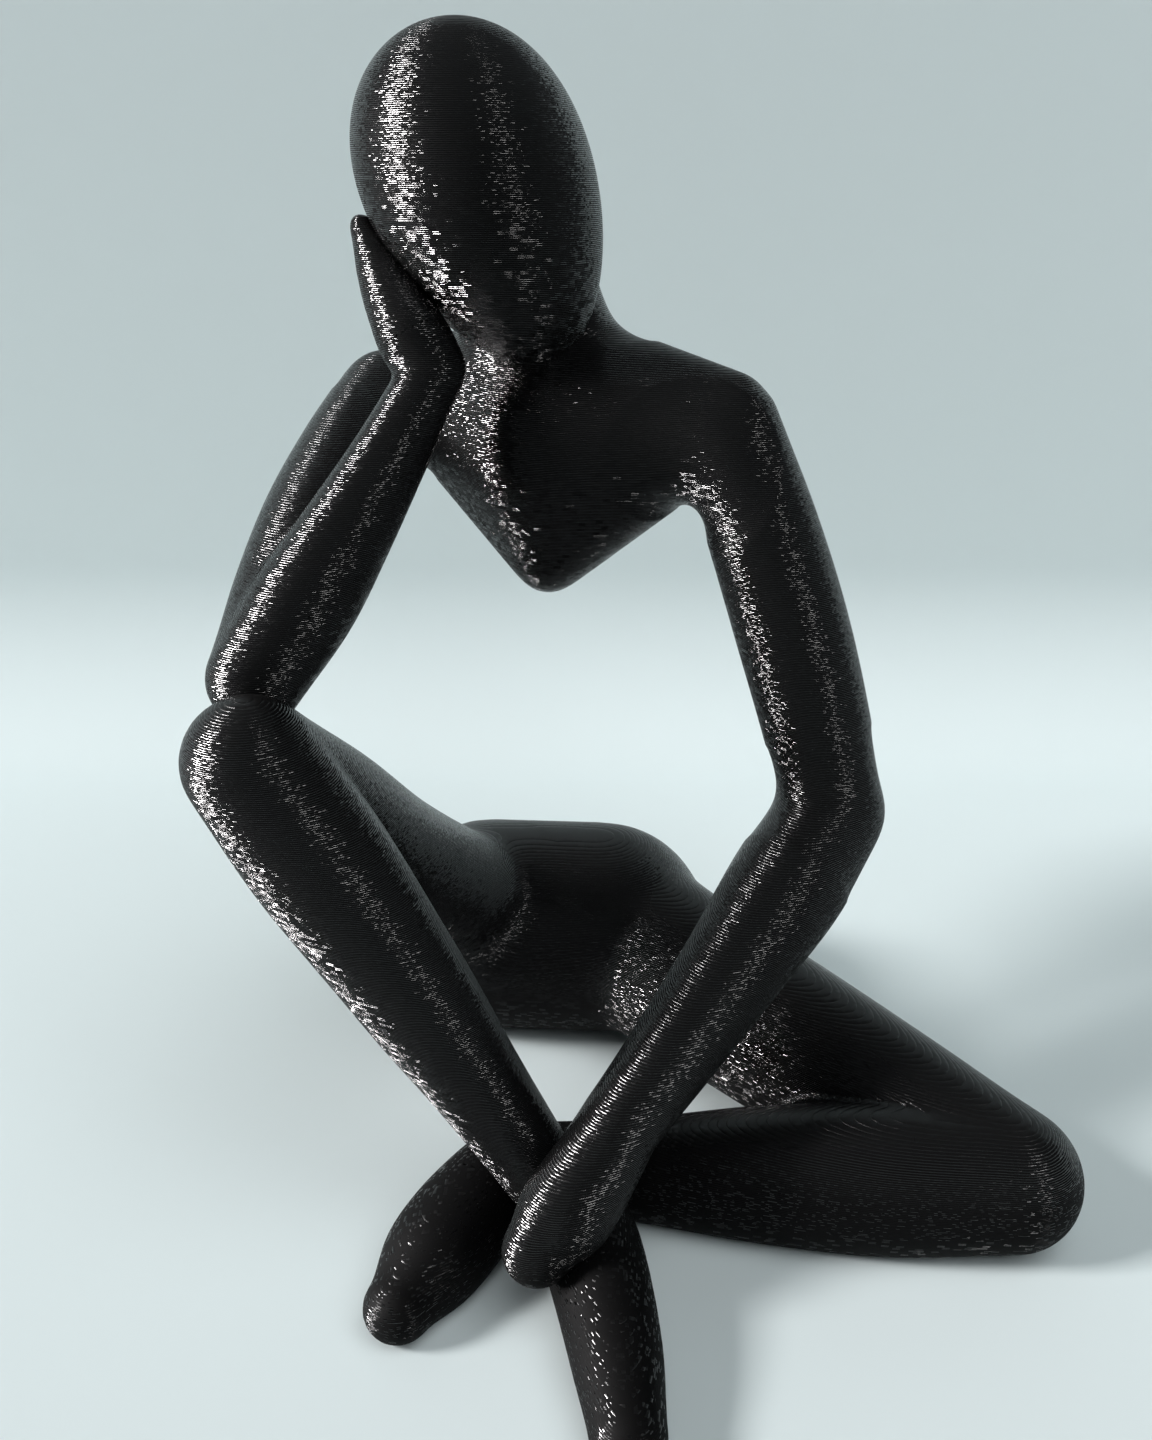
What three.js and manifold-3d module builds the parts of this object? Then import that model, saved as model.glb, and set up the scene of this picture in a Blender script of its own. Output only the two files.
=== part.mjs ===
// Seated thinking figure, a printed ornament made of glued sections with alignment dowels.
// Millimetres, +Z up. The figure sits on z = 0 and faces -Y, with its own right hand towards -X.
import * as THREE from 'three';
import { mergeVertices } from 'three/addons/utils/BufferGeometryUtils.js';
import { ConvexGeometry } from 'three/addons/geometries/ConvexGeometry.js';
import Module from 'manifold-3d';

// Joints: glued sections, dowels and bare contacts
const glueGap = 0.3;
const contactGap = 0.3;
const dowelDiameter = 2.6;
const dowelLength = 8;
const dowelClearance = 0.15;
const dowelEndClearance = 0.4;
const seatFlat = 0.8;
const legFlat = 0.5;
const elbowPress = 1.6;

// Head: an egg that leans towards the right hand and bows forward
const headWidth = 25.4;
const headDepth = 28.4;
const headHeight = 37;
const headLean = 21;
const headBow = 20;
const headEgg = 0.05;

// Trunk: a shield-shaped chest on a slim neck, with no waist
const neckRadius = 7.9;
const neckRootRadius = 8.6;
const chestRadius = 7.5;
const chestWingRadius = 4.3;
const chestTipRadius = 4.6;
const pelvisRadius = 15;

// Arms
const shoulderRadius = 5.9;
const upperArmRadius = 7.1;
const leftElbowRadius = 5.7;
const rightElbowRadius = 5.4;
const leftForearmRadius = 6.7;
const rightForearmRadius = 5.7;
const leftWristRadius = 4.3;
const rightWristRadius = 3.3;
const leftHandWidth = 11.4;
const rightHandWidth = 7.2;
const leftHandTipRadius = 4.1;
const rightHandTipRadius = 1.7;
const leftPalmReach = 10.2;
const leftFingerReach = 5.2;
const rightPalmReach = 7.6;
const rightFingerReach = 9.2;
const handFlatness = 0.85;

// Legs
const hipRadius = 12.4;
const leftThighRadius = 10.5;
const rightThighRadius = 9.1;
const leftKneeRadius = 8.3;
const rightKneeRadius = 7.2;
const calfRadius = 8;
const ankleRadius = 4.9;
const footWidth = 11.8;
const toeRadius = 3.9;
const rightFootLength = 29;
const leftFootLength = 23.5;
const rightHeelAside = 2.6;
const footFlatness = 0.96;

// Sections part just past the ball of a joint
const stubRoot = 0.2;
const cutMargin = 3;
const wristCutMargin = 1;
const shoulderCut = shoulderRadius + cutMargin;
const leftElbowCut = leftElbowRadius + cutMargin;
const rightElbowCut = rightElbowRadius + cutMargin;
const leftWristCut = leftWristRadius + wristCutMargin;
const rightWristCut = rightWristRadius + wristCutMargin;
const hipCut = hipRadius + cutMargin;
const leftKneeCut = leftKneeRadius + cutMargin;
const rightKneeCut = rightKneeRadius + cutMargin;
const ankleCut = ankleRadius + cutMargin;

// Pose: where the joints stand, and which way the contacts face
const headAt = new THREE.Vector3(-18, 27.2, 113);
const neckRootAt = new THREE.Vector3(-11, 32, 91);
const chestAt = new THREE.Vector3(-11.5, 29.5, 84);
const chestTipAt = new THREE.Vector3(-11, 31, 70);
const leftShoulderAt = new THREE.Vector3(9.5, 18.5, 88.6);
const rightShoulderAt = new THREE.Vector3(-31.7, 41, 88.8);
const leftElbowAt = new THREE.Vector3(24.5, 14, 44);
const pelvisAt = new THREE.Vector2(-8, 34.5);
const leftHipAt = new THREE.Vector2(2.5, 32);
const rightHipAt = new THREE.Vector2(-22.5, 34.5);
const leftHipLift = 2.2;
const rightHipLift = 2.8;
const rightKneeAt = new THREE.Vector3(-40.9, -7, 59.4);
const rightAnkleAt = new THREE.Vector2(-10.5, -11.8);
const rightAnkleLift = 3.6;
const rightHeelLift = 2.2;
const leftKneeAt = new THREE.Vector2(42.5, -10);
const elbowOnKnee = new THREE.Vector3(-0.1, 0.86, 0.5).normalize();
const handOnAnkle = new THREE.Vector3(0.18, -0.84, 0.5).normalize();
const handOnCheek = new THREE.Vector3(-0.6, -0.33, -0.73).normalize();
const ankleBehindAnkle = new THREE.Vector2(-0.51, 0.86).normalize();
const leftHandHeading = new THREE.Vector3(-0.57, -0.57, -0.59).normalize();
const rightHandHeading = new THREE.Vector3(-0.42, 0.24, 0.88).normalize();
const rightFootHeading = new THREE.Vector2(0.19, -0.98).normalize();
const leftFootHeading = new THREE.Vector2(-0.48, -0.88).normalize();

// Where each limb is thickest, as a share of its way from the joint nearer the trunk
const neckSwell = 0.45;
const pelvisSwell = 0.3;
const upperArmSwell = 0.45;
const leftForearmSwell = 0.35;
const rightForearmSwell = 0.2;
const thighSwell = 0.5;
const calfSwell = 0.34;
const footSwell = 0.45;

// Facets
const sides = 18;
const capSteps = 3;
const shaftSteps = 6;
const headSteps = 14;
const chestBallSides = 14;
const chestBallRings = 8;
const dowelSides = 12;

const blackPlastic = { color: 0x101012, roughness: 0.38, metalness: 0 };
const dowelPlastic = { color: 0x2a2a2c, roughness: 0.6, metalness: 0 };

const wasm = await Module();
wasm.setup();

// A closed three.js geometry as a solid, with its shared vertices merged and its flat triangles dropped.
function solid(geometry) {
  const bare = geometry.clone();
  bare.deleteAttribute('normal');
  bare.deleteAttribute('uv');
  const merged = mergeVertices(bare, 1e-4);
  const corners = merged.index.array;
  const triangles = [];
  for (let i = 0; i < corners.length; i += 3) {
    const [a, b, c] = corners.slice(i, i + 3);
    if (a !== b && b !== c && c !== a) triangles.push(a, b, c);
  }
  const vertProperties = new Float32Array(merged.attributes.position.array);
  const triVerts = new Uint32Array(triangles);
  return new wasm.Manifold(new wasm.Mesh({ numProp: 3, vertProperties, triVerts }));
}

function geometryOf(body) {
  const mesh = body.getMesh();
  const geometry = new THREE.BufferGeometry();
  geometry.setAttribute('position', new THREE.BufferAttribute(new Float32Array(mesh.vertProperties), 3));
  geometry.setIndex(new THREE.BufferAttribute(new Uint32Array(mesh.triVerts), 1));
  geometry.computeVertexNormals();
  return geometry;
}

const ease = (t) => t * t * (3 - 2 * t);

// One bone of the figure: a turned form that swells between its two joints.
class Bone {
  constructor(from, to, radii, swellAt) {
    this.from = from;
    this.to = to;
    this.radii = radii;
    this.swellAt = swellAt;
    this.length = from.distanceTo(to);
    this.heading = to.clone().sub(from).normalize();
    this.facing = new THREE.Vector3(0, 0, 1);
    this.flatness = 1;
  }

  // Flattens the bone along a direction, fully from its middle on.
  flatten(facing, flatness) {
    this.facing = facing;
    this.flatness = flatness;
    return this;
  }

  point(s) {
    return this.from.clone().addScaledVector(this.heading, s);
  }

  radius(s) {
    const [start, swell, end] = this.radii;
    const t = THREE.MathUtils.clamp(s / this.length, 0, 1);
    if (t < this.swellAt) return THREE.MathUtils.lerp(start, swell, ease(t / this.swellAt));
    return THREE.MathUtils.lerp(swell, end, ease((t - this.swellAt) / (1 - this.swellAt)));
  }

  placement() {
    const across = this.facing.clone().addScaledVector(this.heading, -this.facing.dot(this.heading));
    across.normalize();
    const side = new THREE.Vector3().crossVectors(across, this.heading);
    return new THREE.Matrix4().makeBasis(across, this.heading, side).setPosition(this.from);
  }

  // The stretch from first to last along the bone. An end left out is a round cap past the joint.
  stretch({ first = null, last = null, grow = 0 } = {}) {
    const profile = [];
    const startRadius = this.radii[0] + grow;
    const endRadius = this.radii[2] + grow;
    const begin = first ?? 0;
    const stop = last ?? this.length;
    for (let i = 0; first === null && i < capSteps; i++) {
      const angle = (i / capSteps) * Math.PI / 2;
      profile.push(new THREE.Vector2(startRadius * Math.sin(angle), -startRadius * Math.cos(angle)));
    }
    if (first !== null) profile.push(new THREE.Vector2(0, begin));
    for (let i = 0; i <= shaftSteps; i++) {
      const s = THREE.MathUtils.lerp(begin, stop, i / shaftSteps);
      profile.push(new THREE.Vector2(this.radius(s) + grow, s));
    }
    if (last !== null) profile.push(new THREE.Vector2(0, stop));
    for (let i = capSteps - 1; last === null && i >= 0; i--) {
      const angle = (i / capSteps) * Math.PI / 2;
      profile.push(new THREE.Vector2(endRadius * Math.sin(angle), stop + endRadius * Math.cos(angle)));
    }
    const geometry = new THREE.LatheGeometry(profile, sides);
    const place = geometry.attributes.position;
    for (let i = 0; i < place.count; i++) {
      const t = THREE.MathUtils.clamp(2 * place.getY(i) / this.length, 0, 1);
      place.setX(i, place.getX(i) * THREE.MathUtils.lerp(1, this.flatness, ease(t)));
    }
    geometry.applyMatrix4(this.placement());
    return solid(geometry);
  }

  // The start of this bone, as it grows out of the joint's ball on the section before it.
  stub(cut) {
    return this.stretch({ first: stubRoot, last: cut });
  }

  dowel(cut) {
    return { at: this.point(cut + glueGap / 2), along: this.heading };
  }
}

// Heights of the joints that rest on the floor follow from their radii.
const onFloor = (flat, radius, sink) => new THREE.Vector3(flat.x, flat.y, radius - sink);
const away = (from, heading, distance) => from.clone().addScaledVector(heading, distance);

const pelvis = onFloor(pelvisAt, pelvisRadius, seatFlat);
const leftHip = onFloor(leftHipAt, hipRadius, seatFlat - leftHipLift);
const rightHip = onFloor(rightHipAt, hipRadius, seatFlat - rightHipLift);
const leftKnee = onFloor(leftKneeAt, leftKneeRadius, legFlat);
const rightAnkle = onFloor(rightAnkleAt, ankleRadius, -rightAnkleLift);
const ankleDrop = rightAnkleLift + legFlat;
const ankleSpread = Math.sqrt((2 * ankleRadius + contactGap) ** 2 - ankleDrop ** 2);
const leftAnkleAt = rightAnkleAt.clone().addScaledVector(ankleBehindAnkle, ankleSpread);
const leftAnkle = onFloor(leftAnkleAt, ankleRadius, legFlat);
const heelSide = new THREE.Vector2(-rightFootHeading.y, rightFootHeading.x);
const rightHeelAt = rightAnkleAt.clone().addScaledVector(heelSide, rightHeelAside);
const rightHeel = onFloor(rightHeelAt, ankleRadius, -rightHeelLift);
const toeHeight = toeRadius * footFlatness;
const rightToeAt = rightHeelAt.clone().addScaledVector(rightFootHeading, rightFootLength);
const rightToe = onFloor(rightToeAt, toeHeight, legFlat);
const leftToeAt = leftAnkleAt.clone().addScaledVector(leftFootHeading, leftFootLength);
const leftToe = onFloor(leftToeAt, toeHeight, legFlat);
const rightElbow = away(rightKneeAt, elbowOnKnee, rightKneeRadius + rightElbowRadius - elbowPress);
const leftPalmLift = footWidth / 2 + leftHandWidth / 2 * handFlatness + contactGap;
const leftPalm = away(rightAnkle, handOnAnkle, leftPalmLift);
const leftWrist = away(leftPalm, leftHandHeading, -leftPalmReach);
const leftFingertips = away(leftPalm, leftHandHeading, leftFingerReach);
const rightPalmLift = headWidth / 2 + rightHandWidth / 2 * handFlatness + contactGap;
const rightPalm = away(headAt, handOnCheek, rightPalmLift);
const rightWrist = away(rightPalm, rightHandHeading, -rightPalmReach);
const rightFingertips = away(rightPalm, rightHandHeading, rightFingerReach);
const leftPalmShare = leftPalmReach / (leftPalmReach + leftFingerReach);
const rightPalmShare = rightPalmReach / (rightPalmReach + rightFingerReach);

const neckRadii = [neckRootRadius, neckRadius, neckRadius];
const pelvisRadii = [pelvisRadius, pelvisRadius, hipRadius];
const leftArmRadii = [shoulderRadius, upperArmRadius, leftElbowRadius];
const rightArmRadii = [shoulderRadius, upperArmRadius, rightElbowRadius];
const leftForearmRadii = [leftElbowRadius, leftForearmRadius, leftWristRadius];
const rightForearmRadii = [rightElbowRadius, rightForearmRadius, rightWristRadius];
const leftThighRadii = [hipRadius, leftThighRadius, leftKneeRadius];
const rightThighRadii = [hipRadius, rightThighRadius, rightKneeRadius];
const leftShinRadii = [leftKneeRadius, calfRadius, ankleRadius];
const rightShinRadii = [rightKneeRadius, calfRadius, ankleRadius];
const footRadii = [ankleRadius, footWidth / 2, toeRadius];
const leftHandRadii = [leftWristRadius, leftHandWidth / 2, leftHandTipRadius];
const rightHandRadii = [rightWristRadius, rightHandWidth / 2, rightHandTipRadius];
const floorward = new THREE.Vector3(0, 0, -1);

const bones = {
  neck: new Bone(neckRootAt, headAt, neckRadii, neckSwell),
  rightUpperArm: new Bone(rightShoulderAt, rightElbow, rightArmRadii, upperArmSwell),
  leftUpperArm: new Bone(leftShoulderAt, leftElbowAt, leftArmRadii, upperArmSwell),
  rightForearm: new Bone(rightElbow, rightWrist, rightForearmRadii, rightForearmSwell),
  leftForearm: new Bone(leftElbowAt, leftWrist, leftForearmRadii, leftForearmSwell),
  rightHand: new Bone(rightWrist, rightFingertips, rightHandRadii, rightPalmShare)
    .flatten(handOnCheek, handFlatness),
  leftHand: new Bone(leftWrist, leftFingertips, leftHandRadii, leftPalmShare)
    .flatten(handOnAnkle, handFlatness),
  rightPelvis: new Bone(pelvis, rightHip, pelvisRadii, pelvisSwell),
  leftPelvis: new Bone(pelvis, leftHip, pelvisRadii, pelvisSwell),
  rightThigh: new Bone(rightHip, rightKneeAt, rightThighRadii, thighSwell),
  leftThigh: new Bone(leftHip, leftKnee, leftThighRadii, thighSwell),
  rightShin: new Bone(rightKneeAt, rightAnkle, rightShinRadii, calfSwell),
  leftShin: new Bone(leftKnee, leftAnkle, leftShinRadii, calfSwell),
  rightFoot: new Bone(rightHeel, rightToe, footRadii, footSwell).flatten(floorward, footFlatness),
  leftFoot: new Bone(leftAnkle, leftToe, footRadii, footSwell).flatten(floorward, footFlatness),
};

// The head as an egg of revolution, wider in depth than across.
function headSolid(grow = 0) {
  const half = headHeight / 2 + grow;
  const profile = [];
  for (let i = 0; i <= headSteps; i++) {
    const angle = (i / headSteps) * Math.PI;
    const along = -Math.cos(angle);
    const across = (headWidth / 2 + grow) * Math.sin(angle) * (1 + headEgg * along);
    profile.push(new THREE.Vector2(i % headSteps === 0 ? 0 : across, half * along));
  }
  const geometry = new THREE.LatheGeometry(profile, sides);
  geometry.rotateX(Math.PI / 2);
  geometry.scale(1, headDepth / headWidth, 1);
  geometry.rotateX(THREE.MathUtils.degToRad(headBow));
  geometry.rotateY(-THREE.MathUtils.degToRad(headLean));
  geometry.translate(headAt.x, headAt.y, headAt.z);
  return solid(geometry);
}

// The chest is the skin stretched over balls at the shoulders, the neck's root, the breast and the tip.
function chestSolid(grow = 0) {
  const balls = [
    [rightShoulderAt, chestWingRadius],
    [leftShoulderAt, chestWingRadius],
    [neckRootAt, neckRootRadius],
    [chestAt, chestRadius],
    [chestTipAt, chestTipRadius],
  ];
  const points = [];
  for (const [centre, radius] of balls) {
    const ball = new THREE.SphereGeometry(radius + grow, chestBallSides, chestBallRings).attributes.position;
    for (let i = 0; i < ball.count; i++) {
      points.push(new THREE.Vector3().fromBufferAttribute(ball, i).add(centre));
    }
  }
  return solid(new ConvexGeometry(points));
}

function floorBlock() {
  const size = 400;
  return solid(new THREE.BoxGeometry(size, size, size).translate(0, 0, -size / 2));
}

function dowelSolid({ at, along }, radius, length) {
  const geometry = new THREE.CylinderGeometry(radius, radius, length, dowelSides);
  geometry.applyQuaternion(new THREE.Quaternion().setFromUnitVectors(new THREE.Vector3(0, 1, 0), along));
  geometry.translate(at.x, at.y, at.z);
  return solid(geometry);
}

// Where the dowels stand: one in each glued joint
const elbowRestAt = away(rightKneeAt, elbowOnKnee, rightKneeRadius + contactGap / 2);
const dowels = {
  neck_dowel: { at: away(headAt, bones.neck.heading, -headHeight / 2), along: bones.neck.heading },
  right_shoulder_dowel: bones.rightUpperArm.dowel(shoulderCut),
  left_shoulder_dowel: bones.leftUpperArm.dowel(shoulderCut),
  right_elbow_dowel: bones.rightForearm.dowel(rightElbowCut),
  left_elbow_dowel: bones.leftForearm.dowel(leftElbowCut),
  right_wrist_dowel: bones.rightHand.dowel(rightWristCut),
  left_wrist_dowel: bones.leftHand.dowel(leftWristCut),
  right_hip_dowel: bones.rightThigh.dowel(hipCut),
  left_hip_dowel: bones.leftThigh.dowel(hipCut),
  right_knee_dowel: bones.rightShin.dowel(rightKneeCut),
  left_knee_dowel: bones.leftShin.dowel(leftKneeCut),
  right_ankle_dowel: bones.rightFoot.dowel(ankleCut),
  left_ankle_dowel: bones.leftFoot.dowel(ankleCut),
  elbow_rest_dowel: { at: elbowRestAt, along: elbowOnKnee },
};

const floor = floorBlock();
const socketRadius = dowelDiameter / 2 + dowelClearance;
const socketLength = dowelLength + 2 * dowelEndClearance;

// Leaves a contact's gap to pieces that this one touches.
function clearOf(body, ...keepOuts) {
  return keepOuts.reduce((left, other) => left.subtract(other), body);
}

// Bores the sockets of the named dowels.
function socketed(body, ...names) {
  const sockets = names.map((name) => dowelSolid(dowels[name], socketRadius, socketLength));
  return clearOf(body, ...sockets);
}

const grown = (bone) => bone.stretch({ grow: contactGap });
const from = (bone, cut) => bone.stretch({ first: cut + glueGap });

const crossedLeg = [grown(bones.rightShin), grown(bones.rightFoot)];
const raisedKnee = [grown(bones.rightThigh), grown(bones.rightShin)];
const headRoom = headSolid(contactGap);
const chestRoom = chestSolid(contactGap);
const seatRoom = grown(bones.rightPelvis).add(grown(bones.leftPelvis));

const sections = {
  head: socketed(headSolid(), 'neck_dowel'),
  torso: socketed(
    clearOf(
      chestSolid()
        .add(bones.neck.stretch())
        .add(bones.rightUpperArm.stretch({ last: shoulderCut }))
        .add(bones.leftUpperArm.stretch({ last: shoulderCut })),
      headRoom,
    ),
    'neck_dowel', 'right_shoulder_dowel', 'left_shoulder_dowel',
  ),
  right_upper_arm: socketed(
    clearOf(
      from(bones.rightUpperArm, shoulderCut).add(bones.rightForearm.stub(rightElbowCut)),
      chestRoom,
      ...raisedKnee,
    ),
    'right_shoulder_dowel', 'right_elbow_dowel', 'elbow_rest_dowel',
  ),
  right_forearm: socketed(
    clearOf(
      from(bones.rightForearm, rightElbowCut).add(bones.rightHand.stub(rightWristCut)),
      grown(bones.rightUpperArm),
      headRoom,
    ),
    'right_elbow_dowel', 'right_wrist_dowel',
  ),
  right_hand: socketed(
    clearOf(from(bones.rightHand, rightWristCut), grown(bones.rightForearm), headRoom),
    'right_wrist_dowel',
  ),
  left_upper_arm: socketed(
    clearOf(from(bones.leftUpperArm, shoulderCut).add(bones.leftForearm.stub(leftElbowCut)), chestRoom),
    'left_shoulder_dowel', 'left_elbow_dowel',
  ),
  left_forearm: socketed(
    clearOf(
      from(bones.leftForearm, leftElbowCut).add(bones.leftHand.stub(leftWristCut)),
      grown(bones.leftUpperArm),
      ...crossedLeg,
    ),
    'left_elbow_dowel', 'left_wrist_dowel',
  ),
  left_hand: socketed(
    clearOf(from(bones.leftHand, leftWristCut), grown(bones.leftForearm), ...crossedLeg),
    'left_wrist_dowel',
  ),
  pelvis: socketed(
    bones.rightPelvis.stretch()
      .add(bones.leftPelvis.stretch())
      .add(bones.rightThigh.stub(hipCut))
      .add(bones.leftThigh.stub(hipCut))
      .subtract(floor),
    'right_hip_dowel', 'left_hip_dowel',
  ),
  right_thigh: socketed(
    clearOf(from(bones.rightThigh, hipCut).add(bones.rightShin.stub(rightKneeCut)), seatRoom),
    'right_hip_dowel', 'right_knee_dowel', 'elbow_rest_dowel',
  ),
  right_shin: socketed(
    clearOf(
      from(bones.rightShin, rightKneeCut).add(bones.rightFoot.stub(ankleCut)),
      grown(bones.rightThigh),
      floor,
    ),
    'right_knee_dowel', 'right_ankle_dowel',
  ),
  right_foot: socketed(
    clearOf(from(bones.rightFoot, ankleCut), grown(bones.rightShin), floor),
    'right_ankle_dowel',
  ),
  left_thigh: socketed(
    clearOf(from(bones.leftThigh, hipCut).add(bones.leftShin.stub(leftKneeCut)), seatRoom, floor),
    'left_hip_dowel', 'left_knee_dowel',
  ),
  left_shin: socketed(
    clearOf(
      from(bones.leftShin, leftKneeCut).add(bones.leftFoot.stub(ankleCut)),
      grown(bones.leftThigh),
      ...crossedLeg,
      floor,
    ),
    'left_knee_dowel', 'left_ankle_dowel',
  ),
  left_foot: socketed(
    clearOf(from(bones.leftFoot, ankleCut), grown(bones.leftShin), ...crossedLeg, floor),
    'left_ankle_dowel',
  ),
};

const figure = new THREE.Group();

for (const [name, body] of Object.entries(sections)) {
  const mesh = new THREE.Mesh(geometryOf(body), new THREE.MeshStandardMaterial(blackPlastic));
  mesh.name = name;
  figure.add(mesh);
}

for (const [name, place] of Object.entries(dowels)) {
  const body = dowelSolid(place, dowelDiameter / 2, dowelLength);
  const mesh = new THREE.Mesh(geometryOf(body), new THREE.MeshStandardMaterial(dowelPlastic));
  mesh.name = name;
  figure.add(mesh);
}

// The origin is under the middle of the figure's box.
const reach = new THREE.Box3().setFromObject(figure);
const middle = reach.getCenter(new THREE.Vector3());
figure.position.set(-middle.x, -middle.y, -reach.min.z);

export default figure;
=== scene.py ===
import math

import bmesh
import bpy
import numpy as np
from mathutils import Matrix, Vector


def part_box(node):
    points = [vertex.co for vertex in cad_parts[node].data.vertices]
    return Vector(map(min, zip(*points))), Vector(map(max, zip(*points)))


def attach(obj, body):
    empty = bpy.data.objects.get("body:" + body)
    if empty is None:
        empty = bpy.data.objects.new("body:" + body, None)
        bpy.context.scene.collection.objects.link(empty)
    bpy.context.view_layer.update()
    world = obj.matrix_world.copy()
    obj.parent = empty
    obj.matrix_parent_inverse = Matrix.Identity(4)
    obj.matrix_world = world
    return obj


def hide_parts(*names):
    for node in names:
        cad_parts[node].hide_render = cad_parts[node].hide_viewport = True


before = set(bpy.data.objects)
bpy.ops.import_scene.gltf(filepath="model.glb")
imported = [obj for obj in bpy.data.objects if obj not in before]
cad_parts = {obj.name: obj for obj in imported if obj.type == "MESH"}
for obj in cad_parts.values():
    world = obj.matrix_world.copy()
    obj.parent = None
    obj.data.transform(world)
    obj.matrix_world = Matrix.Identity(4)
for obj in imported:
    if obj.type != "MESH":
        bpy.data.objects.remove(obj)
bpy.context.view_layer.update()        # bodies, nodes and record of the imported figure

mm = 0.001
scene = bpy.context.scene
up = Vector((0, 0, 1))

# how finely the skins are drawn, in millimetres and counts
skin = {"voxel": 0.45, "soften": 10, "softening": 0.5, "limbSides": 40, "shaftSteps": 26, "capSteps": 8,
        "ballSides": 40, "ballRings": 24, "cutReach": 1.8, "cutSnap": 1e-4, "creaseAngle": 38}


def ease(t):
    return t * t * (3 - 2 * t)


def unit(x, y, z=0):
    return Vector((x, y, z)).normalized()


# a smooth curve through evenly spaced values
def through(values, t):
    padded = np.array((values[0], *values, values[-1]), float)
    place = np.clip(t, 0, 1) * (len(values) - 1)
    span = np.minimum(np.floor(place).astype(int), len(values) - 2)
    u = place - span
    a, b, c, d = (padded[span + step] for step in range(4))
    return b + u / 2 * (c - a + u * (2 * a - 5 * b + 4 * c - d + u * (3 * (b - c) + d - a)))


class Bone:
    # a limb from joint to joint, with its radius at even steps along the way
    def __init__(self, start, end, radii, facing=up, flatness=1, bow=(0, 0, 0)):
        self.start = Vector(start)
        self.end = Vector(end)
        self.radii = radii
        self.bow = Vector(bow)
        self.length = (self.end - self.start).length
        self.heading = (self.end - self.start).normalized()
        self.across = (Vector(facing) - self.heading * self.heading.dot(Vector(facing))).normalized()
        self.side = self.heading.cross(self.across)
        self.flatness = flatness
        self.cut = None
        self.before = None
        self.after = None

    # the section before the cut, the cut's place along the bone, and the section after it
    def parted(self, before, cut=None, after=None):
        self.before = before
        self.cut = cut
        self.after = after
        return self

    def point(self, along):
        t = min(max(along / self.length, 0), 1)
        return self.start + self.heading * along + self.bow * (4 * t * (1 - t))

    def radius(self, along):
        return through(self.radii, along / self.length)

    def ring(self, along, radius):
        t = min(max(2 * along / self.length, 0), 1)
        flat = 1 + (self.flatness - 1) * ease(t)
        turn = Matrix((self.across * radius * flat, self.side * radius, self.heading)).transposed()
        return Matrix.Translation(self.point(along)) @ turn.to_4x4()

    # rings from the round start to the round end, or to a round end short of it
    def rings(self, last=None):
        stop = self.length if last is None else last
        startRadius = float(self.radius(0))
        endRadius = float(self.radius(stop))
        caps = [math.pi / 2 * step / skin["capSteps"] for step in range(1, skin["capSteps"])]
        made = [self.ring(-startRadius * math.cos(a), startRadius * math.sin(a)) for a in caps]
        for step in range(skin["shaftSteps"] + 1):
            along = stop * step / skin["shaftSteps"]
            made.append(self.ring(along, float(self.radius(along))))
        made += [self.ring(stop + endRadius * math.sin(a), endRadius * math.cos(a)) for a in caps]
        return made

    # how far points lie along the bone, and how far outside its surface
    def measure(self, points):
        along = np.clip((points - np.array(self.start)) @ np.array(self.heading), 0, self.length)
        t = along / self.length
        bent = np.outer(4 * t * (1 - t), np.array(self.bow))
        axis = np.array(self.start) + np.outer(along, np.array(self.heading)) + bent
        return along, np.linalg.norm(points - axis, axis=1) - self.radius(along)


# a tube through rings, closed at both ends
def growLimb(bm, rings):
    made = bmesh.ops.create_circle(bm, cap_ends=True, segments=skin["limbSides"], radius=1, matrix=rings[0])
    loop = list({edge for vert in made["verts"] for edge in vert.link_edges})
    for before, after in zip(rings, rings[1:]):
        made = bmesh.ops.extrude_edge_only(bm, edges=loop)["geom"]
        verts = [item for item in made if isinstance(item, bmesh.types.BMVert)]
        fresh = set(verts)
        edges = [item for item in made if isinstance(item, bmesh.types.BMEdge)]
        loop = [edge for edge in edges if fresh.issuperset(edge.verts)]
        bmesh.ops.transform(bm, matrix=after @ before.inverted(), verts=verts)
    bmesh.ops.contextual_create(bm, geom=loop)


# a skin stretched over balls
def stretchSkin(bm, balls):
    for centre, radius in balls:
        place = Matrix.Translation(centre)
        bmesh.ops.create_uvsphere(bm, u_segments=skin["ballSides"], v_segments=skin["ballRings"],
                                  radius=radius, matrix=place)
    bmesh.ops.delete(bm, geom=bm.edges[:], context="EDGES_FACES")
    hull = bmesh.ops.convex_hull(bm, input=bm.verts[:])
    inside = [item for item in hull["geom_interior"] if isinstance(item, bmesh.types.BMVert)]
    bmesh.ops.delete(bm, geom=inside, context="VERTS")


# one even skin over all the limbs of a group
def fuse(name, bm):
    bmesh.ops.recalc_face_normals(bm, faces=bm.faces)
    draft = bpy.data.meshes.new(name)
    bm.to_mesh(draft)
    bm.free()
    holder = bpy.data.objects.new(name, draft)
    scene.collection.objects.link(holder)
    remesh = holder.modifiers.new("evenSkin", "REMESH")
    remesh.mode = "VOXEL"
    remesh.voxel_size = skin["voxel"]
    soft = holder.modifiers.new("softSkin", "SMOOTH")
    soft.factor = skin["softening"]
    soft.iterations = skin["soften"]
    fused = bmesh.new()
    fused.from_object(holder, bpy.context.evaluated_depsgraph_get())
    bpy.data.objects.remove(holder)
    bpy.data.meshes.remove(draft)
    print(name, "fused,", len(fused.faces), "faces")
    return fused


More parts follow.
